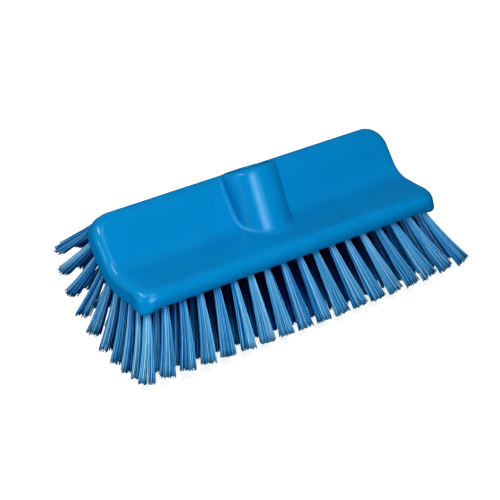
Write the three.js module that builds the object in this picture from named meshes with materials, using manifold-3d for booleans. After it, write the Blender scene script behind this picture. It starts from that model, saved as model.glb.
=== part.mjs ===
// Angled deck brush head: a bent moulded block with a handle socket, and rows of bristles that
// reach the floor, the corner in front of it and the wall above it.
// Millimetres, +Z up, +X along the block, +Y towards the wall wing.

import * as THREE from 'three';
import { mergeVertices } from 'three/addons/utils/BufferGeometryUtils.js';
import Module from 'manifold-3d';

const wasm = await Module();
wasm.setup();
const radians = THREE.MathUtils.degToRad;

// Block
const blockLength = 240;
const blockThickness = 16;
const floorWing = 39.5; // top face, from the valley corner to the nose
const wallWing = 37.5; // top face, from the valley corner to the rear edge
const bendAngle = 51.4; // degrees between the two wings
const valleyRadius = 18;
const topEdgeRadius = 6.5;
const undersideEdgeRadius = 3.5;
const noseFlat = 0.6; // left on the front, between its two roundings
const noseCornerRadius = 7; // front corners, seen from above
const wallCornerRadius = 16; // rear corners, in the plane of the wall wing

// Handle socket
const socketDiameter = 39;
const socketAngle = 62; // degrees above the floor
const socketAxisOffset = -1.5; // from the valley corner to the axis, square to the axis
const socketRise = 36; // from the valley corner to the mouth, along the axis
const socketRimRadius = 4;
const socketSkin = 1; // the socket's foot ends this far above the underside
const boreDiameter = 22;
const boreDepth = 34;

// Bristles
const bristleLength = 46;
const columns = 18;
const columnPitch = 13.3;
const noseMargin = 9; // first row behind the nose
const rearMargin = 5.5; // last row before the rear edge
const rootSpread = 1.6; // strands about their tuft's centre, at the block
const tipSpread = 4; // and at the tips
const strandRadius = 0.9;
const strandSides = 3;
const strandTurn = radians(137.5); // from one strand to the next, so that no two line up
const outerStrands = 4; // in each tuft of the outermost rows and columns
const innerStrands = 2; // in each tuft inside those

// Each row, front to back: its tilt forwards of straight down, and the sideways splay of its end
// tufts, both in degrees.
const rows = [
  { tilt: 37, splay: 23 },
  { tilt: 27, splay: 19 },
  { tilt: 17, splay: 15.5 },
  { tilt: 7, splay: 13 },
  { tilt: -3, splay: 11.5 },
  { tilt: -13, splay: 11 },
  { tilt: -22.5, splay: 11 },
  { tilt: -32.5, splay: 10.5 },
  { tilt: -42, splay: 8.5 },
  { tilt: -49.5, splay: 4 },
];

// Backing strips, let into the underside; each carries the rows from first to last.
const strips = [
  { name: 'toe_bristles', first: 0, last: 0 },
  { name: 'floor_bristles', first: 1, last: 3 },
  { name: 'heel_bristles', first: 4, last: 6 },
  { name: 'wall_bristles', first: 7, last: 9 },
];
const stripThickness = 3;
const stripBorder = 2.4; // past the centres of the outermost tufts
const stripClearance = 0.3;

const arcSteps = 5; // facets of a rounded edge
const bendSteps = 8; // facets of the valley and of the bend under it
const roundSides = 40; // facets of the socket and its bore
const sharpest = 0.3; // radius left on a corner at the flat of an end
const stationGap = 0.3; // sections nearer than this to the one before are left out

const blockMaterial = new THREE.MeshStandardMaterial({ color: 0x0480c4, roughness: 0.32, metalness: 0 });
const bristleMaterial = new THREE.MeshStandardMaterial({ color: 0x4f95cb, roughness: 0.45, metalness: 0 });

// Section of the block, as (y, z) with the valley corner at y = 0 and the floor wing's underside
// at z = 0.
const bend = radians(bendAngle);
const bendRadius = valleyRadius + blockThickness;
const noseUndersideRadius = blockThickness - topEdgeRadius - noseFlat;
const forwards = new THREE.Vector2(-1, 0);
const upWall = new THREE.Vector2(Math.cos(bend), Math.sin(bend));
const floorUp = new THREE.Vector2(0, 1);
const wallUp = new THREE.Vector2(-Math.sin(bend), Math.cos(bend));
const valley = new THREE.Vector2(0, blockThickness);

function along(point, direction, distance) {
  return point.clone().addScaledVector(direction, distance);
}

function crossing(pointA, directionA, pointB, directionB) {
  const t = pointB.clone().sub(pointA).cross(directionB) / directionA.cross(directionB);
  return along(pointA, directionA, t);
}

// Points of a round corner, from the side of the corner before it to the side of the one after.
function roundCorner(before, corner, after, radius, steps) {
  const back = before.clone().sub(corner).normalize();
  const ahead = after.clone().sub(corner).normalize();
  const half = Math.acos(back.dot(ahead)) / 2;
  const centre = along(corner, back.clone().add(ahead).normalize(), radius / Math.sin(half));
  const start = along(corner, back, radius / Math.tan(half)).sub(centre);
  const end = along(corner, ahead, radius / Math.tan(half)).sub(centre);
  const sweep = Math.atan2(start.cross(end), start.dot(end));
  const points = [];
  for (let i = 0; i <= steps; i += 1) {
    points.push(start.clone().rotateAround(new THREE.Vector2(), (sweep * i) / steps).add(centre));
  }
  return points;
}

// The section, drawn in by an inset on each of its sides.
function sectionOutline(topInset, undersideInset, noseInset, rearInset) {
  const nose = along(valley, forwards, floorWing - noseInset);
  const rear = along(valley, upWall, wallWing - rearInset);
  const floorTop = along(valley, floorUp, -topInset);
  const wallTop = along(valley, wallUp, -topInset);
  const floorUnder = along(valley, floorUp, undersideInset - blockThickness);
  const wallUnder = along(valley, wallUp, undersideInset - blockThickness);
  const topEdge = topEdgeRadius - topInset;
  const undersideEdge = undersideEdgeRadius - undersideInset;
  const noseUnderside = noseUndersideRadius - undersideInset;
  const outerBend = bendRadius - undersideInset;
  const innerBend = valleyRadius + topInset;
  const corners = [
    { at: crossing(floorTop, forwards, nose, floorUp), radius: topEdge, steps: arcSteps },
    { at: crossing(floorUnder, forwards, nose, floorUp), radius: noseUnderside, steps: arcSteps },
    { at: crossing(floorUnder, forwards, wallUnder, upWall), radius: outerBend, steps: bendSteps },
    { at: crossing(wallUnder, upWall, rear, wallUp), radius: undersideEdge, steps: arcSteps },
    { at: crossing(wallTop, upWall, rear, wallUp), radius: topEdge, steps: arcSteps },
    { at: crossing(floorTop, forwards, wallTop, upWall), radius: innerBend, steps: bendSteps },
  ];
  return corners.flatMap(({ at, radius, steps }, i) => {
    const before = corners.at(i - 1).at;
    const after = corners[(i + 1) % corners.length].at;
    return roundCorner(before, at, after, Math.max(radius, sharpest), steps);
  });
}

// How far a round edge of this radius draws the section in, at a distance from the end.
function roundingInset(radius, distance) {
  const inside = Math.max(radius - distance, 0);
  return radius - Math.sqrt(radius * radius - inside * inside);
}

// Places from an end at which a section is drawn, closer together where the rounding is tighter.
function endStations() {
  const stations = [topEdgeRadius, wallCornerRadius].flatMap((radius) => {
    const places = [];
    for (let i = 0; i <= arcSteps; i += 1) {
      places.push(radius * (1 - Math.sin((Math.PI / 2) * (i / arcSteps))));
    }
    return places;
  });
  stations.sort((a, b) => a - b);
  return stations.filter((place, i) => i === 0 || place - stations[i - 1] > stationGap);
}

function bufferGeometry(vertices, triangles) {
  const geometry = new THREE.BufferGeometry();
  geometry.setAttribute('position', new THREE.Float32BufferAttribute(vertices, 3));
  geometry.setIndex(triangles);
  return geometry;
}

// Body of the block: sections lofted from end to end, with a flat cap on each end.
function blockBody() {
  const fromEnd = endStations();
  const stations = [
    ...fromEnd.map((d) => ({ x: d - blockLength / 2, d })),
    ...fromEnd.toReversed().map((d) => ({ x: blockLength / 2 - d, d })),
  ];
  const outlines = stations.map(({ d }) => sectionOutline(
    roundingInset(topEdgeRadius, d),
    roundingInset(undersideEdgeRadius, d),
    roundingInset(noseCornerRadius, d),
    roundingInset(wallCornerRadius, d),
  ));
  const count = outlines[0].length;
  const vertices = outlines.flatMap((outline, i) => outline.flatMap((p) => [stations[i].x, p.x, p.y]));
  const triangles = [];
  for (let ring = 0; ring + 1 < stations.length; ring += 1) {
    for (let i = 0; i < count; i += 1) {
      const a = ring * count + i;
      const b = ring * count + ((i + 1) % count);
      triangles.push(a, b, a + count, b, b + count, a + count);
    }
  }
  const last = (stations.length - 1) * count;
  for (const [a, b, c] of THREE.ShapeUtils.triangulateShape(outlines[0], [])) {
    triangles.push(a, c, b, last + a, last + b, last + c);
  }
  return bufferGeometry(vertices, triangles);
}

function solid(geometry) {
  const bare = geometry.clone();
  bare.deleteAttribute('normal');
  bare.deleteAttribute('uv');
  const merged = mergeVertices(bare);
  const vertProperties = new Float32Array(merged.attributes.position.array);
  const triVerts = new Uint32Array(merged.index.array);
  return new wasm.Manifold(new wasm.Mesh({ numProp: 3, vertProperties, triVerts }));
}

function meshOf(name, vertices, triangles, material) {
  const mesh = new THREE.Mesh(bufferGeometry(vertices, triangles), material);
  mesh.geometry.computeVertexNormals();
  mesh.name = name;
  return mesh;
}

// The underside from the first row of bristles back to the last, by distance along it: a flat, the
// bend and a flat. Gives the place, pushed into the block by a depth.
const bendTangent = bendRadius * Math.tan(bend / 2);
const bendCorner = crossing(
  along(valley, floorUp, -blockThickness),
  forwards,
  along(valley, wallUp, -blockThickness),
  upWall,
);
const floorRun = floorWing - noseMargin + bendCorner.x - bendTangent;
const bendRun = bendRadius * bend;
const wallRun = upWall.dot(along(valley, upWall, wallWing).sub(bendCorner)) - bendTangent - rearMargin;
const rowPitch = (floorRun + bendRun + wallRun) / (rows.length - 1);

function underside(distance, depth = 0) {
  const turn = THREE.MathUtils.clamp((distance - floorRun) / bendRadius, 0, bend);
  const inwards = floorUp.clone().rotateAround(new THREE.Vector2(), turn);
  const place = new THREE.Vector2(bendCorner.x - bendTangent, bendRadius);
  place.addScaledVector(inwards, depth - bendRadius);
  const straight = Math.min(distance - floorRun, 0) + Math.max(distance - floorRun - bendRun, 0);
  place.addScaledVector(new THREE.Vector2(inwards.y, -inwards.x), straight);
  return place;
}

// A slab that follows the underside through a list of distances, between two depths.
function undersideSlab(distances, low, high, length) {
  const lower = distances.map((distance) => underside(distance, low));
  const upper = distances.map((distance) => underside(distance, high));
  return acrossBlock([...lower, ...upper.reverse()], length);
}

// A prism of a section outline, centred along the block.
function acrossBlock(outline, length) {
  const shape = new THREE.Shape(outline);
  const geometry = new THREE.ExtrudeGeometry(shape, { depth: length, bevelEnabled: false });
  geometry.translate(0, 0, -length / 2);
  const toBlock = new THREE.Matrix4().makeBasis(
    new THREE.Vector3(0, 1, 0),
    new THREE.Vector3(0, 0, 1),
    new THREE.Vector3(1, 0, 0),
  );
  return solid(geometry.applyMatrix4(toBlock));
}

// Socket pieces are turned about their axis, with z = 0 at the mouth.
function onSocketAxis(profile) {
  const geometry = new THREE.LatheGeometry(profile, roundSides);
  geometry.rotateX(Math.PI / 2);
  geometry.translate(0, -socketAxisOffset, socketRise);
  geometry.rotateX(radians(socketAngle - 90));
  geometry.translate(0, 0, blockThickness);
  return solid(geometry);
}

function socketBody() {
  const radius = socketDiameter / 2;
  const foot = -(socketRise + radius);
  const rim = roundCorner(
    new THREE.Vector2(radius, foot),
    new THREE.Vector2(radius, 0),
    new THREE.Vector2(0, 0),
    socketRimRadius,
    arcSteps,
  );
  const cylinder = onSocketAxis([
    new THREE.Vector2(0, foot),
    new THREE.Vector2(radius, foot),
    ...rim,
    new THREE.Vector2(0, 0),
  ]);
  const reach = socketDiameter + socketRise;
  const distances = [-reach];
  for (let i = 0; i <= bendSteps; i += 1) {
    distances.push(floorRun + (bendRun * i) / bendSteps);
  }
  distances.push(floorRun + bendRun + reach);
  const below = undersideSlab(distances, -socketDiameter, socketSkin, 2 * socketDiameter);
  return cylinder.subtract(below);
}

function socketBore() {
  const radius = boreDiameter / 2;
  return onSocketAxis([
    new THREE.Vector2(0, -boreDepth),
    new THREE.Vector2(radius, -boreDepth),
    new THREE.Vector2(radius, socketRimRadius),
    new THREE.Vector2(0, socketRimRadius),
  ]);
}

// The strips lie on one flat for each row, from halfway to the row before to halfway to the next.
const stripLength = (columns - 1) * columnPitch + 2 * stripBorder;
const rowEdges = [-stripBorder];
for (let row = 1; row < rows.length; row += 1) {
  rowEdges.push((row - 0.5) * rowPitch);
}
rowEdges.push((rows.length - 1) * rowPitch + stripBorder);

function brushBlock() {
  const distances = rowEdges.slice();
  distances[0] -= stripClearance;
  distances[rows.length] += stripClearance;
  const recess = undersideSlab(
    distances,
    -stripThickness,
    stripThickness + stripClearance,
    stripLength + 2 * stripClearance,
  );
  const body = solid(blockBody()).add(socketBody()).subtract(socketBore()).subtract(recess);
  const { vertProperties, triVerts } = body.getMesh();
  return meshOf('brush_block', vertProperties, Array.from(triVerts), blockMaterial);
}

// Direction of a tuft: its row's tilt, and a splay that grows towards the ends of the block.
function tuftDirection(row, x) {
  const tilt = radians(row.tilt);
  const lastColumn = ((columns - 1) * columnPitch) / 2;
  const splay = radians(row.splay) * (x / lastColumn);
  return new THREE.Vector3(
    Math.sin(splay),
    -Math.cos(splay) * Math.sin(tilt),
    -Math.cos(splay) * Math.cos(tilt),
  );
}

// Puts a point and gives its number.
function addPoint(mesh, point) {
  mesh.vertices.push(point.x, point.y, point.z);
  return mesh.vertices.length / 3 - 1;
}

// One strand: a prism from the flat that it stands on to its tip. Gives the numbers of the points
// on the flat.
function addStrand(mesh, flat, root, tip, turn) {
  const direction = tip.clone().sub(root).normalize();
  const side = new THREE.Vector3(1, 0, 0).cross(direction).normalize();
  const across = direction.clone().cross(side);
  const feet = [];
  const ends = [];
  for (let i = 0; i < strandSides; i += 1) {
    const angle = turn + (2 * Math.PI * i) / strandSides;
    const offset = side.clone().multiplyScalar(strandRadius * Math.cos(angle));
    offset.addScaledVector(across, strandRadius * Math.sin(angle));
    const edge = root.clone().add(offset);
    const toFlat = -flat.distanceToPoint(edge) / flat.normal.dot(direction);
    feet.push(addPoint(mesh, edge.addScaledVector(direction, toFlat)));
    ends.push(tip.clone().add(offset));
  }
  const tops = ends.map((end) => addPoint(mesh, end));
  for (let i = 0; i < strandSides; i += 1) {
    const next = (i + 1) % strandSides;
    mesh.triangles.push(feet[i], feet[next], tops[i], feet[next], tops[next], tops[i]);
  }
  for (let i = 1; i + 1 < strandSides; i += 1) {
    mesh.triangles.push(tops[0], tops[i], tops[i + 1]);
  }
  return feet;
}

// The strands of one tuft, spread about its line.
function addTuft(mesh, flat, rowIndex, column) {
  const row = rows[rowIndex];
  const outermost = [0, rows.length - 1].includes(rowIndex) || [0, columns - 1].includes(column);
  const strands = outermost ? outerStrands : innerStrands;
  const x = (column - (columns - 1) / 2) * columnPitch;
  const distance = rowIndex * rowPitch;
  const centre = underside(distance);
  const root = new THREE.Vector3(x, centre.x, centre.y);
  const direction = tuftDirection(row, x);
  const tip = root.clone().addScaledVector(direction, bristleLength);
  const side = new THREE.Vector3(1, 0, 0).addScaledVector(direction, -direction.x).normalize();
  const across = side.clone().cross(direction);
  const feet = [];
  for (let i = 0; i < strands; i += 1) {
    const angle = (2 * Math.PI * (i + 0.5)) / strands;
    const spot = underside(distance + rootSpread * Math.sin(angle));
    const strandRoot = new THREE.Vector3(x + rootSpread * Math.cos(angle), spot.x, spot.y);
    const strandTip = tip.clone()
      .addScaledVector(side, tipSpread * Math.cos(angle))
      .addScaledVector(across, tipSpread * Math.sin(angle));
    const turn = strandTurn * (column * outerStrands + i);
    feet.push(addStrand(mesh, flat, strandRoot, strandTip, turn));
  }
  return feet;
}

// One row: the flat of the strip that carries it, open at the feet of its strands, and the strands.
function addRow(mesh, rowIndex, near, far) {
  const [nearLeft, nearRight] = near;
  const [farLeft, farRight] = far;
  const pointOf = (number) => new THREE.Vector3().fromArray(mesh.vertices, 3 * number);
  const flat = new THREE.Plane().setFromCoplanarPoints(
    pointOf(nearLeft),
    pointOf(farLeft),
    pointOf(nearRight),
  );
  const feet = [];
  for (let column = 0; column < columns; column += 1) {
    feet.push(...addTuft(mesh, flat, rowIndex, column));
  }
  const back = pointOf(farLeft).sub(pointOf(nearLeft)).normalize();
  const onFlat = (number) => {
    const point = pointOf(number);
    return new THREE.Vector2(point.x, point.sub(pointOf(nearLeft)).dot(back));
  };
  const outline = [nearLeft, nearRight, farRight, farLeft];
  const numbers = [...outline, ...feet.flat()];
  const openings = feet.map((foot) => foot.map(onFlat));
  for (const [a, b, c] of THREE.ShapeUtils.triangulateShape(outline.map(onFlat), openings)) {
    mesh.triangles.push(numbers[a], numbers[c], numbers[b]);
  }
}

// A strip of backing with its rows of tufts.
function bristleStrip({ name, first, last }) {
  const mesh = { vertices: [], triangles: [] };
  const distances = rowEdges.slice(first, last + 2);
  distances[0] += first === 0 ? 0 : stripClearance / 2;
  distances[distances.length - 1] -= last === rows.length - 1 ? 0 : stripClearance / 2;
  const pair = (distance, depth) => {
    const { x: y, y: z } = underside(distance, depth);
    return [-1, 1].map((end) => addPoint(mesh, new THREE.Vector3((end * stripLength) / 2, y, z)));
  };
  const lower = distances.map((distance) => pair(distance, 0));
  const upper = distances.map((distance) => pair(distance, stripThickness));
  const quad = (a, b, c, d) => mesh.triangles.push(a, b, c, a, c, d);
  quad(lower[0][0], lower[0][1], upper[0][1], upper[0][0]);
  quad(lower.at(-1)[1], lower.at(-1)[0], upper.at(-1)[0], upper.at(-1)[1]);
  for (let i = 0; i + 1 < distances.length; i += 1) {
    quad(upper[i][0], upper[i][1], upper[i + 1][1], upper[i + 1][0]);
    quad(lower[i][0], upper[i][0], upper[i + 1][0], lower[i + 1][0]);
    quad(lower[i][1], lower[i + 1][1], upper[i + 1][1], upper[i][1]);
    addRow(mesh, first + i, lower[i], lower[i + 1]);
  }
  return meshOf(name, mesh.vertices, mesh.triangles, bristleMaterial);
}

const brush = new THREE.Group();
brush.add(brushBlock(), ...strips.map(bristleStrip));

// The origin lies on the floor, at the lowest tips, under the middle of the brush.
const box = new THREE.Box3().setFromObject(brush);
brush.position.y = -(box.min.y + box.max.y) / 2;
brush.position.z = -box.min.z;

export default brush;
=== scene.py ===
"""Angled deck brush head: a glossy moulded block and fanned tufts of fine filaments."""

import math

import bpy
import numpy as np
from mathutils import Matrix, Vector


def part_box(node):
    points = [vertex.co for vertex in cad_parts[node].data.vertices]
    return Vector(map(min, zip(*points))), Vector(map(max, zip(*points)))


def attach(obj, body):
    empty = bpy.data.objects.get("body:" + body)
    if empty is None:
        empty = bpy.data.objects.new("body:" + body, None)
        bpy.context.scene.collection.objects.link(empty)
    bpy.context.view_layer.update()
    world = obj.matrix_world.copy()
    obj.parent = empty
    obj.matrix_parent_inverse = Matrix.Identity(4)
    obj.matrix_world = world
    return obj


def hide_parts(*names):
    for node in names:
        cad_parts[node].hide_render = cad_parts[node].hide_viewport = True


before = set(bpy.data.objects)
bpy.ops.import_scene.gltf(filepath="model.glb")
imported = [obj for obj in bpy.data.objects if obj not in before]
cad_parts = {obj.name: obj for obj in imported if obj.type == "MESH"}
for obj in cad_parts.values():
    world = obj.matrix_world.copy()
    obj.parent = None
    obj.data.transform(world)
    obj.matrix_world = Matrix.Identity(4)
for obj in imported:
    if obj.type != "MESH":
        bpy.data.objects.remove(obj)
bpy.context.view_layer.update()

# Sizes are in millimetres, with the valley corner of the block at y = 0
MM = 0.001
FLOOR_HEIGHT = 46.02  # of the floor wing's underside
BLOCK_LENGTH = 240.0
THICKNESS = 16.0
FLOOR_WING = 39.5
WALL_WING = 37.5
BEND = math.radians(51.4)
VALLEY_RADIUS = 18.0
TOP_EDGE = 6.5  # radius of the edge round the top face
UNDERSIDE_EDGE = 3.5  # and round the underside
NOSE_UNDERSIDE = 8.9  # the same along the nose
NOSE_BLEND = 14.0  # from the corner, over which the one passes into the other
NOSE_CORNER = 7.0  # radius of the front corners at the underside
TOP_CORNER = 15.0  # and at the top face
NOSE_FLARE = 1.6  # that each end gains towards the nose
FLARE_RUN = 22.0  # over which it does
WALL_CORNER = 16.0  # radius of the rear corners

SOCKET_RADIUS = 19.5
SOCKET_ANGLE = math.radians(62.0)
SOCKET_OFFSET = -1.5
SOCKET_RISE = 36.0
SOCKET_RIM = 4.0
SOCKET_SKIN = 1.0  # of the block, left under the socket
SOCKET_FILLET = 2.6  # where the socket grows out of the block
RIM_FILLET = 0.6  # the same at the mouth, where the two run side by side
FILLET_RUN = 7.0  # from the mouth down to the full fillet
BORE_RADIUS = 11.0
BORE_DEPTH = 34.0
BORE_CORNER = 2.0
BORE_EDGE = 0.8

COLUMNS = 18
COLUMN_PITCH = 13.3
NOSE_MARGIN = 9.0
REAR_MARGIN = 5.5
BRISTLE_LENGTH = 46.0
# Each row, front to back: tilt forwards of straight down, and splay of the end tufts, in degrees
ROWS = [
    (37, 23),
    (27, 19),
    (17, 15.5),
    (7, 13),
    (-3, 11.5),
    (-13, 11),
    (-22.5, 11),
    (-32.5, 10.5),
    (-42, 8.5),
    (-49.5, 4),
]
# First and last row of each strip
STRIPS = {
    "toe_bristles": (0, 0),
    "floor_bristles": (1, 3),
    "heel_bristles": (4, 6),
    "wall_bristles": (7, 9),
}

TOP = FLOOR_HEIGHT + THICKNESS
TANGENT = VALLEY_RADIUS * math.tan(BEND / 2)
BEND_RADIUS = VALLEY_RADIUS + THICKNESS
SHIFT_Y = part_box("brush_block")[0].y / MM + FLOOR_WING


def to_frame(points):
    """Points of the section frame, in millimetres, in the row frame, in metres."""
    return (points + np.array([0.0, SHIFT_Y, 0.0])) * MM


# Block: a distance field whose zero surface is meshed

BLOCK_STEP = 0.82  # of the grid that it is meshed on
# Room round the block, in steps, which keeps the flat faces off the planes of the grid
GRID_ROOM = np.array([2.0, 2.3, 2.6])
LEAST_SLOPE = 0.5  # that the field is taken to have


def rounded(a, b, radius):
    """Distance to the corner where a < 0 and b < 0 meet, rounded."""
    a, b = a + radius, b + radius
    return np.hypot(np.maximum(a, 0), np.maximum(b, 0)) + np.minimum(np.maximum(a, b), 0) - radius


def joined(a, b, radius):
    """Two bodies joined with a fillet."""
    corner = np.hypot(np.maximum(radius - a, 0), np.maximum(radius - b, 0))
    return np.maximum(radius, np.minimum(a, b)) - corner


def cut(a, b, radius):
    """Body a less body b, with the edge between them rounded."""
    return -joined(-a, b, radius)


def smooth_step(value):
    """Eased rise from 0 to 1."""
    value = np.clip(value, 0, 1)
    return value * value * (3 - 2 * value)


def block_distance(points):
    """Signed distance to the moulded block."""
    x, y, z = points[..., 0], points[..., 1], points[..., 2] - TOP

    # Height over the top face, and how far a point lies past the nose or the rear edge
    up_wall = y * math.cos(BEND) + z * math.sin(BEND)
    over_wall = z * math.cos(BEND) - y * math.sin(BEND)
    over_bend = VALLEY_RADIUS - np.hypot(y + TANGENT, z - VALLEY_RADIUS)
    on_floor, on_wall = y < -TANGENT, up_wall > TANGENT
    height = np.where(on_floor, z, np.where(on_wall, over_wall, over_bend))
    past_rear = np.where(on_wall, up_wall - WALL_WING, -2 * TANGENT)
    past_end = np.where(on_floor, -y - FLOOR_WING, past_rear)

    flare = NOSE_FLARE * smooth_step((past_end + FLARE_RUN) / FLARE_RUN) * on_floor
    past_side = np.abs(x) - BLOCK_LENGTH / 2 - flare
    to_top = np.clip(1 + height / THICKNESS, 0, 1)
    nose_corner = NOSE_CORNER + (TOP_CORNER - NOSE_CORNER) * to_top
    plan = rounded(past_side, past_end, np.where(on_floor, nose_corner, WALL_CORNER))
    top = rounded(plan, height, TOP_EDGE)

    # The edge of the underside widens from 30 to 90 degrees round the front corner
    from_end = np.maximum(past_side + NOSE_BLEND, 0)
    from_nose = np.where(on_floor, np.maximum(past_end + NOSE_BLEND, 0), 0)
    nose_share = smooth_step(np.arctan2(from_nose, from_end) / (math.pi / 3) - 0.5)
    edge = UNDERSIDE_EDGE + (NOSE_UNDERSIDE - UNDERSIDE_EDGE) * nose_share
    bottom = rounded(plan, -THICKNESS - height, edge)
    block = np.maximum(top, bottom)

    rise = y * math.cos(SOCKET_ANGLE) + z * math.sin(SOCKET_ANGLE) - SOCKET_RISE
    across = y * math.sin(SOCKET_ANGLE) - z * math.cos(SOCKET_ANGLE) + SOCKET_OFFSET
    radial = np.hypot(x, across)
    socket = rounded(radial - SOCKET_RADIUS, rise, SOCKET_RIM)
    socket = np.maximum(socket, SOCKET_SKIN - THICKNESS - height)
    bore = rounded(radial - BORE_RADIUS, -BORE_DEPTH - rise, BORE_CORNER)
    fillet = RIM_FILLET + (SOCKET_FILLET - RIM_FILLET) * smooth_step(-rise / FILLET_RUN)
    return cut(joined(block, socket, fillet), bore, BORE_EDGE)


def surface_net(distance, low, high, step):
    """Closed mesh of quads of the zero surface of a distance field."""
    counts = np.ceil((high - low) / step).astype(int) + 1
    axes = [low[i] + step * np.arange(counts[i]) for i in range(3)]
    values = distance(np.stack(np.meshgrid(*axes, indexing="ij"), axis=-1))
    inside = values < 0
    corners = np.array(list(np.ndindex(2, 2, 2)))
    total = np.zeros(counts - 1, np.int8)
    for i, j, k in corners:
        total += inside[i : counts[0] - 1 + i, j : counts[1] - 1 + j, k : counts[2] - 1 + k]
    active = (total > 0) & (total < len(corners))
    cells = np.argwhere(active)
    number = np.full(active.shape, -1)
    number[active] = np.arange(len(cells))

    # A vertex in each cell, at the mean of the places where the surface crosses its edges
    summed, met = np.zeros((len(cells), 3)), np.zeros(len(cells))
    for corner in corners:
        for axis in np.flatnonzero(corner == 0):
            start = cells + corner
            end = start + np.eye(3, dtype=int)[axis]
            a, b = values[tuple(start.T)], values[tuple(end.T)]
            crossed = (a < 0) != (b < 0)
            place = start[crossed].astype(float)
            place[:, axis] += (a / np.where(crossed, a - b, 1))[crossed]
            summed[crossed] += place
            met += crossed
    vertices = low + step * summed / met[:, None]

    # A quad round each edge of the grid that the surface crosses
    quads = []
    for axis in range(3):
        b, c = (axis + 1) % 3, (axis + 2) % 3
        before = np.take(inside, range(counts[axis] - 1), axis)
        after = np.take(inside, range(1, counts[axis]), axis)
        edges = np.argwhere(before != after)
        leaving = before[tuple(edges.T)]
        ring = []
        for back_b, back_c in ((0, 0), (1, 0), (1, 1), (0, 1)):
            cell = edges.copy()
            cell[:, b] -= back_b
            cell[:, c] -= back_c
            ring.append(number[tuple(cell.T)])
        ring = np.stack(ring, axis=1)
        quads.append(np.where(leaving[:, None], ring, ring[:, ::-1]))
    return vertices, np.concatenate(quads)


def settle(distance, points, reach, rounds=3, nudge=0.02):
    """Moves points onto the zero surface, each by at most reach a round."""
    for _ in range(rounds):
        value = distance(points)
        slope = np.stack(
            [
                (distance(points + e) - distance(points - e)) / (2 * nudge)
                for e in nudge * np.eye(3)
            ],
            axis=-1,
        )
        square = np.maximum((slope**2).sum(axis=-1), LEAST_SLOPE**2)
        points = points - np.clip((value / square)[:, None] * slope, -reach, reach)
    return points


def mesh_object(name, vertices, faces):
    """Smooth-shaded object of a mesh, in the scene."""
    mesh = bpy.data.meshes.new(name)
    mesh.from_pydata(vertices.tolist(), [], faces.tolist())
    mesh.shade_smooth()
    piece = bpy.data.objects.new(name, mesh)
    bpy.context.scene.collection.objects.link(piece)
    return piece


def moulded_block():
    """The block with its handle socket, as one moulding."""
    half, room = BLOCK_LENGTH / 2 + NOSE_FLARE, GRID_ROOM * BLOCK_STEP
    low = np.array([-half, -FLOOR_WING, FLOOR_HEIGHT]) - room
    high = np.array([half, FLOOR_WING, TOP + SOCKET_RISE + SOCKET_RIM]) + room
    vertices, faces = surface_net(block_distance, low, high, BLOCK_STEP)
    vertices = settle(block_distance, vertices, BLOCK_STEP / 2)
    return mesh_object("moulded_block", to_frame(vertices), faces)


# Tufts of filaments

SEED = 1000  # of the randomness, to which each strip adds its first row
FILAMENTS = 52  # in each tuft
SIDES = 4  # of a filament
RINGS = 6  # of vertices round a filament, outside the block
FILAMENT_RADIUS = 0.38
ROOT_DEPTH = 3.0  # of the filaments in the block
ROOT_RADIUS = 2.2  # of a tuft, at the block
TIP_RADII = np.array([5.9, 3.7])  # of a tuft, at its tips, along its row and across it
FLARE = 1.1  # above 1, a tuft opens more towards its tips
CROWDING = 0.4  # below 0.5, filaments crowd towards the outside of a tuft
TIP_SCATTER = 0.25
LENGTH_SCATTER = 0.7
LENGTH_LIMITS = (-2.0, 0.8)  # of that scatter
WAVE = 0.1  # of a filament, sideways
WAVE_TURNS = (1.0, 2.0)  # least and most along a filament
BOW = 0.9  # of the end tufts, outwards from their roots
GOLDEN = math.pi * (3 - math.sqrt(5))  # angle that spreads the filaments evenly
SHADE_STEP = math.sqrt(2) - 1  # from filament to filament, so that neighbours differ
# Painted shade: tufts inside the brush are coloured darker and bluer, standing in for the shade
# that falls there
# Share of the deepest painted shade that a tuft has, by its row and by its column in from the
# nearer end
ROW_PAINTED_SHADE = (0, 0.9, 1, 1, 0.9, 0.7, 0.5, 0.35, 0.2, 0)
COLUMN_PAINTED_SHADE = (0, 0.1, 0.25, 0.5, 0.8, 1)
PAINTED_SHADE_ROOT = np.array([0.025, 0.05, 0.085])  # the deepest painted shade, up to PAINTED_SHADE_END of the length
PAINTED_SHADE_TIP = np.array([0.25, 0.42, 0.56])  # and at the tip
PAINTED_SHADE_END = 0.6
# Size and place of a filament's walls, and of its two caps, in its cell of the texture
WALL_SIZE, WALL_PLACE = np.array([0.9, 0.8]), np.array([0.05, 0.04])
CAP_SIZE, CAP_PLACE = np.array([0.9, 0.06]), np.array([0.05, 0.9])

# Line of the underside from the first row to the last: along the floor wing, bend and wall wing
WALL_WAY = np.array([math.cos(BEND), math.sin(BEND)])
BEND_TANGENT = BEND_RADIUS * math.tan(BEND / 2)
BEND_CORNER = np.array([BEND_TANGENT - TANGENT, FLOOR_HEIGHT])
FLOOR_RUN = FLOOR_WING - NOSE_MARGIN + BEND_CORNER[0] - BEND_TANGENT
BEND_RUN = BEND_RADIUS * BEND
REAR = np.array([0.0, TOP]) + WALL_WING * WALL_WAY
WALL_RUN = (REAR - BEND_CORNER) @ WALL_WAY - BEND_TANGENT - REAR_MARGIN
ROW_PITCH = (FLOOR_RUN + BEND_RUN + WALL_RUN) / (len(ROWS) - 1)
LAST_COLUMN = (COLUMNS - 1) / 2 * COLUMN_PITCH


def underside(distance):
    """Places on the underside, as (y, z), at distances along it from the first row."""
    turn = np.clip((distance - FLOOR_RUN) / BEND_RADIUS, 0, BEND)
    inwards = np.stack([-np.sin(turn), np.cos(turn)], axis=-1)
    along = np.stack([np.cos(turn), np.sin(turn)], axis=-1)
    straight = np.minimum(distance - FLOOR_RUN, 0)
    straight = straight + np.maximum(distance - FLOOR_RUN - BEND_RUN, 0)
    centre = np.array([-TANGENT, FLOOR_HEIGHT + BEND_RADIUS])
    return centre - BEND_RADIUS * inwards + straight[..., None] * along


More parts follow.
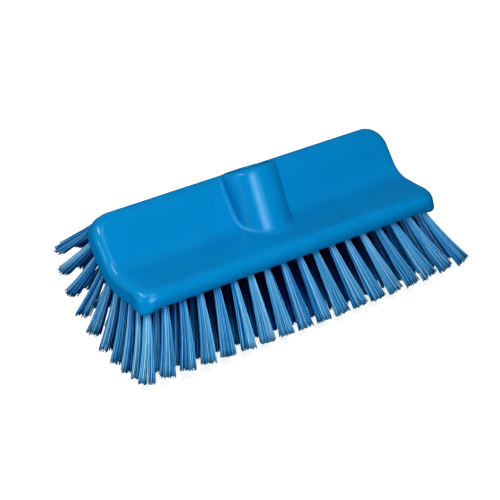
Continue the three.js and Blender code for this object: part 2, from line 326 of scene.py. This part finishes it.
def tuft_lines(row, column, rng):
    """Centre lines of a tuft's filaments, by filament, ring and xyz, and the two ways across it."""
    tilt, splay = ROWS[row]
    x = (column - (COLUMNS - 1) / 2) * COLUMN_PITCH
    tilt = math.radians(tilt)
    splay = math.radians(splay) * x / LAST_COLUMN
    way = np.array([
        math.sin(splay),
        -math.cos(splay) * math.sin(tilt),
        -math.cos(splay) * math.cos(tilt),
    ])
    side = np.array([1.0, 0.0, 0.0]) - way[0] * way
    side /= np.linalg.norm(side)
    across = np.cross(side, way)

    order = np.arange(FILAMENTS)
    spread = ((order + 0.5) / FILAMENTS) ** CROWDING
    angle = order * GOLDEN + rng.uniform(0, 2 * math.pi)
    disc = np.stack([spread * np.cos(angle), spread * np.sin(angle)], axis=-1)
    spots = underside(row * ROW_PITCH + ROOT_RADIUS * disc[:, 1])
    roots = np.column_stack([x + ROOT_RADIUS * disc[:, 0], spots])
    centre = np.array([x, *underside(np.array([row * ROW_PITCH]))[0]])
    reach = TIP_RADII * disc + rng.normal(0, TIP_SCATTER, disc.shape)
    tips = centre + BRISTLE_LENGTH * way + reach[:, :1] * side + reach[:, 1:] * across
    tips += rng.normal(0, LENGTH_SCATTER, (FILAMENTS, 1)).clip(*LENGTH_LIMITS) * way
    tips[:, 2] = np.maximum(tips[:, 2], FILAMENT_RADIUS)

    t = np.linspace(0, 1, RINGS)[None, :, None]
    straight = (tips - roots)[:, None]
    drift = (straight @ way)[..., None] * way
    lines = roots[:, None] + t * drift + t**FLARE * (straight - drift)
    phase = rng.uniform(0, 2 * math.pi, (2, FILAMENTS, 1, 1))
    turns = rng.uniform(*WAVE_TURNS, (2, FILAMENTS, 1, 1))
    lines += WAVE * t * (np.sin(2 * math.pi * turns[0] * t + phase[0]) * side)
    lines += WAVE * t * (np.sin(2 * math.pi * turns[1] * t + phase[1]) * across)
    lines -= BOW * x / LAST_COLUMN * 4 * t * (1 - t) * side
    inner = lines[:, :1] - ROOT_DEPTH * way
    return np.concatenate([inner, lines], axis=1), side, across


def filament_map(count, levels):
    """Texture places of every corner: a small cell for each filament, its sides side by side."""
    ring, side = np.meshgrid(np.arange(levels - 1), np.arange(SIDES), indexing="ij")
    walls = [[side, ring], [side, ring + 1], [side + 1, ring + 1], [side + 1, ring]]
    walls = np.moveaxis(np.stack(walls, axis=0), (0, 1), (-2, -1)).reshape(-1, 4, 2)
    walls = walls / [SIDES, levels - 1]
    corners = np.array([[0, 0], [1, 0], [1, 1], [0, 1]])
    caps = np.stack([corners, corners + [2, 0]]) / [3, 1]
    cell = np.concatenate([walls * WALL_SIZE + WALL_PLACE, caps * CAP_SIZE + CAP_PLACE])
    across = math.ceil(math.sqrt(count))
    place = np.stack(np.divmod(np.arange(count), across), axis=-1)
    return (place[:, None, None] + cell) / across


def tuft_painted_shade(row, column, along):
    """Painted shade of a tuft's filaments at places along them: darker and bluer inside the brush,
    lighter towards the tips.
    """
    from_end = min(column, COLUMNS - 1 - column, len(COLUMN_PAINTED_SHADE) - 1)
    depth = min(ROW_PAINTED_SHADE[row], COLUMN_PAINTED_SHADE[from_end])
    to_tip = np.clip((along - PAINTED_SHADE_END) / (1 - PAINTED_SHADE_END), 0, 1)[:, None]
    return PAINTED_SHADE_ROOT**depth * (1 - to_tip) + PAINTED_SHADE_TIP**depth * to_tip


def bristle_piece(name, first, last):
    """One strip's tufts; each vertex has its filament's shade, its place along it and its tone, the
    painted shade inside the brush.
    """
    rng = np.random.default_rng(SEED + first)
    turn = 2 * math.pi * np.arange(SIDES)[:, None] / SIDES
    rings, shades, alongs, painted_shades = [], [], [], []
    for row in range(first, last + 1):
        for column in range(COLUMNS):
            lines, side, across = tuft_lines(row, column, rng)
            twist = rng.uniform(0, 2 * math.pi, (FILAMENTS, 1, 1, 1))
            around = np.cos(turn + twist) * side + np.sin(turn + twist) * across
            ring = lines[:, :, None] + FILAMENT_RADIUS * around
            shade = (SHADE_STEP * np.arange(FILAMENTS) + rng.uniform()) % 1
            along = np.linspace(0, 1, lines.shape[1])
            tone = tuft_painted_shade(row, column, along)
            rings.append(ring)
            shades.append(np.broadcast_to(shade[:, None, None], ring.shape[:3]))
            alongs.append(np.broadcast_to(along[None, :, None], ring.shape[:3]))
            painted_shades.append(np.broadcast_to(tone[None, :, None], ring.shape))
    rings = np.concatenate(rings)
    count, levels = rings.shape[:2]
    vertices = to_frame(rings.reshape(-1, 3))
    grid = np.arange(count * levels * SIDES).reshape(count, levels, SIDES)
    after = np.roll(grid, -1, axis=2)
    walls = np.stack([grid[:, :-1], grid[:, 1:], after[:, 1:], after[:, :-1]], axis=-1)
    walls = walls.reshape(count, -1, 4)
    faces = np.concatenate([walls, grid[:, :1], grid[:, -1:, ::-1]], axis=1)
    piece = mesh_object(name, vertices, faces.reshape(-1, 4))
    for label, kind, field, values in (
        ("shade", "FLOAT", "value", shades),
        ("along", "FLOAT", "value", alongs),
        ("tone", "FLOAT_VECTOR", "vector", painted_shades),
    ):
        layer = piece.data.attributes.new(label, kind, "POINT")
        layer.data.foreach_set(field, np.concatenate(values).ravel().astype(np.float32))
    texture_map = piece.data.uv_layers.new(name="OFBake")
    texture_map.data.foreach_set("uv", filament_map(count, levels).ravel().astype(np.float32))
    return piece


# Materials

MIX_A, MIX_B, MIX_RESULT = 6, 7, 2  # colour sockets of a mix node


def grey(level):
    return (level, level, level, 1)


def new_material(name):
    """A material with its nodes, links and shader."""
    material = bpy.data.materials.new(name)
    material.use_nodes = True
    nodes, links = material.node_tree.nodes, material.node_tree.links
    return material, nodes, links, nodes["Principled BSDF"]


def add_node(nodes, kind, **inputs):
    """A node with values on its sockets, in whose names _ stands for a space."""
    node = nodes.new(kind)
    for key, value in inputs.items():
        node.inputs[key.replace("_", " ")].default_value = value
    return node


def colour_ramp(nodes, stops):
    """A ramp with a colour at each of its places, which go upwards."""
    node = nodes.new("ShaderNodeValToRGB")
    ramp = node.color_ramp.elements
    first, *between, last = stops
    ramp[0].position, ramp[1].position = first, last
    for place in between:
        ramp.new(place)
    for element, colour in zip(ramp, stops.values()):
        element.color = colour
    return node


def block_material():
    """Glossy moulded plastic, with faint flow mottling and a fine orange peel."""
    material, nodes, links, shader = new_material("moulded_plastic")
    place = nodes.new("ShaderNodeTexCoord")
    mottle = add_node(nodes, "ShaderNodeTexNoise", Scale=28.0, Detail=3.0, Roughness=0.55)
    links.new(place.outputs["Object"], mottle.inputs["Vector"])
    colour = colour_ramp(nodes, {
        0.3: (0.003, 0.222, 0.495, 1),
        0.7: (0.0045, 0.248, 0.535, 1),
    })
    links.new(mottle.outputs["Fac"], colour.inputs["Fac"])
    links.new(colour.outputs["Color"], shader.inputs["Base Color"])
    rough = add_node(nodes, "ShaderNodeMapRange", To_Min=0.18, To_Max=0.26)
    links.new(mottle.outputs["Fac"], rough.inputs["Value"])
    links.new(rough.outputs["Result"], shader.inputs["Roughness"])
    peel = add_node(nodes, "ShaderNodeTexNoise", Scale=420.0, Detail=2.0)
    links.new(place.outputs["Object"], peel.inputs["Vector"])
    bump = add_node(nodes, "ShaderNodeBump", Strength=0.05, Distance=0.0004)
    links.new(peel.outputs["Fac"], bump.inputs["Height"])
    links.new(bump.outputs["Normal"], shader.inputs["Normal"])
    shader.inputs["Specular IOR Level"].default_value = 0.4
    return material


def bristle_material():
    """Stiff plastic filament: each its own shade, with painted shade towards the cut end and inside
    the brush, and a soft sheen.
    """
    material, nodes, links, shader = new_material("filament")
    shade = nodes.new("ShaderNodeAttribute")
    shade.attribute_name = "shade"
    # Filaments differ in colour at random; the palest also stand in for glints and the darkest for
    # shadow between filaments: painted highlight and painted shade
    colour = colour_ramp(nodes, {
        0.0: (0.008, 0.12, 0.38, 1),
        0.35: (0.065, 0.31, 0.61, 1),
        0.75: (0.165, 0.44, 0.69, 1),
        1.0: (0.33, 0.59, 0.79, 1),
    })
    links.new(shade.outputs["Fac"], colour.inputs["Fac"])
    along = nodes.new("ShaderNodeAttribute")
    along.attribute_name = "along"
    # Painted shade: each filament darkens over its last part, towards its cut end
    cut_end_shade = add_node(
        nodes, "ShaderNodeMapRange", From_Min=0.93, From_Max=1.0, To_Min=1.0, To_Max=0.55
    )
    links.new(along.outputs["Fac"], cut_end_shade.inputs["Value"])
    # Painted shade inside the brush, read from the tone attribute; those filaments are also made
    # rougher
    inside = nodes.new("ShaderNodeAttribute")
    inside.attribute_name = "tone"
    tone = colour.outputs["Color"]
    for share in (cut_end_shade.outputs["Result"], inside.outputs["Color"]):
        darker = nodes.new("ShaderNodeMix")
        darker.data_type = "RGBA"
        darker.blend_type = "MULTIPLY"
        darker.inputs["Factor"].default_value = 1.0
        links.new(tone, darker.inputs[MIX_A])
        links.new(share, darker.inputs[MIX_B])
        tone = darker.outputs[MIX_RESULT]
    links.new(tone, shader.inputs["Base Color"])
    rough = add_node(nodes, "ShaderNodeMapRange", To_Min=0.85, To_Max=0.38)
    links.new(inside.outputs["Fac"], rough.inputs["Value"])
    links.new(rough.outputs["Result"], shader.inputs["Roughness"])
    shader.inputs["Specular IOR Level"].default_value = 0.08
    return material


def floor_material():
    """Plain white sweep."""
    material, _, _, shader = new_material("pale_floor")
    shader.inputs["Base Color"].default_value = grey(0.4)
    shader.inputs["Roughness"].default_value = 1.0
    shader.inputs["Specular IOR Level"].default_value = 0.0
    shader.inputs["Emission Color"].default_value = grey(1.0)
    shader.inputs["Emission Strength"].default_value = 0.85
    return material


block = moulded_block()
block.data.materials.append(block_material())
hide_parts("brush_block")
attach(block, "root")

filament = bristle_material()
for strip, (first, last) in STRIPS.items():
    piece = bristle_piece(strip.replace("bristles", "tufts"), first, last)
    piece.data.materials.append(filament)
    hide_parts(strip)
    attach(piece, "root")

# Stage: floor, lights, world and camera

FLOOR_HALF = 4.0  # half the floor's width, in metres
TOE = 0.08  # of the camera's response
TOE_LEVELS = (0.015, 0.04, 0.08, 0.15, 0.3, 0.6)  # at which its curve is set
ALL_COLOURS = 3  # the curve after those of red, green and blue
CAMERA_PLACE = np.array([-670.0, -900.9, 665.7])
CAMERA_WAY = Vector((0.5156, 0.7045, -0.4877))
CAMERA_LENS = 138.1
SENSOR_WIDTH = 36.0

floor_mesh = bpy.data.meshes.new("floor")
floor_mesh.from_pydata(
    [(sx * FLOOR_HALF, sy * FLOOR_HALF, 0) for sx, sy in ((-1, -1), (1, -1), (1, 1), (-1, 1))],
    [],
    [(0, 1, 2, 3)],
)
floor = bpy.data.objects.new("floor", floor_mesh)
bpy.context.scene.collection.objects.link(floor)
floor.data.materials.append(floor_material())
floor.visible_diffuse = False
floor.visible_glossy = False
floor.visible_shadow = False


def soft_light(name, azimuth, elevation, distance, size, power, mirrored=False, lit=True):
    """An oblong area light that faces the brush, itself out of sight.

    Azimuth 0 is in front of the brush and -90 at its left end. A mirrored light shows in gloss,
    and one that isn't lit shows there alone.
    """
    azimuth, elevation = math.radians(azimuth), math.radians(elevation)
    back = Vector((
        math.sin(azimuth) * math.cos(elevation),
        -math.cos(azimuth) * math.cos(elevation),
        math.sin(elevation),
    ))
    data = bpy.data.lights.new(name, "AREA")
    data.shape = "RECTANGLE"
    data.size, data.size_y = size
    data.energy = power
    light = bpy.data.objects.new(name, data)
    light.location = Vector((0, 0, FLOOR_HEIGHT * MM)) + back * distance
    light.rotation_mode = "QUATERNION"
    light.rotation_quaternion = back.to_track_quat("Z", "Y")
    light.visible_camera = False
    light.visible_glossy = mirrored
    light.visible_diffuse = lit
    bpy.context.scene.collection.objects.link(light)


soft_light("key", -28, 56, 0.9, (0.4, 0.4), 6.1)
soft_light("front", -26, 8, 1.0, (0.24, 0.4), 3.7)
soft_light("panel", -25, 20, 1.0, (0.38, 0.5), 2.4, mirrored=True, lit=False)
soft_light("halo", -11, 18, 1.0, (0.5, 0.45), 1.6, mirrored=True, lit=False)
soft_light("bounce", -20, -25, 0.8, (0.6, 0.4), 1.3)
soft_light("side", -120, 4, 1.0, (0.7, 0.7), 4.4)
soft_light("left", -85, -25, 0.8, (0.5, 0.3), 0.7)
soft_light("right", 118, 2, 1.0, (0.7, 0.5), 4.0)
soft_light("back", 180, 12, 1.0, (1.0, 0.5), 5.0)
soft_light("under", 165, -25, 0.8, (0.8, 0.4), 1.6)
soft_light("rear", 150, 60, 1.0, (0.6, 0.6), 1.0)
soft_light("edge", -84, 10, 0.8, (0.2, 0.08), 0.4, mirrored=True, lit=False)
soft_light("corner", -95, 47, 0.8, (0.55, 0.06), 2.0, mirrored=True, lit=False)


def studio_world():
    """Dim all round, brighter overhead and almost dark below; plain pale to the camera."""
    world = bpy.data.worlds.new("studio")
    world.use_nodes = True
    nodes, links = world.node_tree.nodes, world.node_tree.links
    place = nodes.new("ShaderNodeTexCoord")
    split = nodes.new("ShaderNodeSeparateXYZ")
    links.new(place.outputs["Generated"], split.inputs["Vector"])
    dome = colour_ramp(nodes, {0.0: grey(0.02), 0.05: grey(0.14), 0.5: grey(0.14), 1.0: grey(0.24)})
    links.new(split.outputs["Z"], dome.inputs["Fac"])
    seen = nodes.new("ShaderNodeLightPath")
    pale = nodes.new("ShaderNodeMix")
    pale.data_type = "RGBA"
    pale.inputs[MIX_B].default_value = grey(0.9)
    links.new(seen.outputs["Is Camera Ray"], pale.inputs["Factor"])
    links.new(dome.outputs["Color"], pale.inputs[MIX_A])
    links.new(pale.outputs[MIX_RESULT], nodes["Background"].inputs["Color"])
    return world


bpy.context.scene.world = studio_world()

# Standard colours with a camera's toe, which deepens the shade
view = bpy.context.scene.view_settings
view.view_transform = "Standard"
view.use_curve_mapping = True
for level in TOE_LEVELS:
    response = (1 + TOE) * level**2 / (level + TOE)
    view.curve_mapping.curves[ALL_COLOURS].points.new(level, response)
view.curve_mapping.update()

camera_data = bpy.data.cameras.new("camera")
camera_data.lens = CAMERA_LENS
camera_data.sensor_width = SENSOR_WIDTH
camera = bpy.data.objects.new("camera", camera_data)
camera.location = to_frame(CAMERA_PLACE)
camera.rotation_mode = "QUATERNION"
camera.rotation_quaternion = CAMERA_WAY.to_track_quat("-Z", "Y")
bpy.context.scene.collection.objects.link(camera)
bpy.context.scene.camera = camera
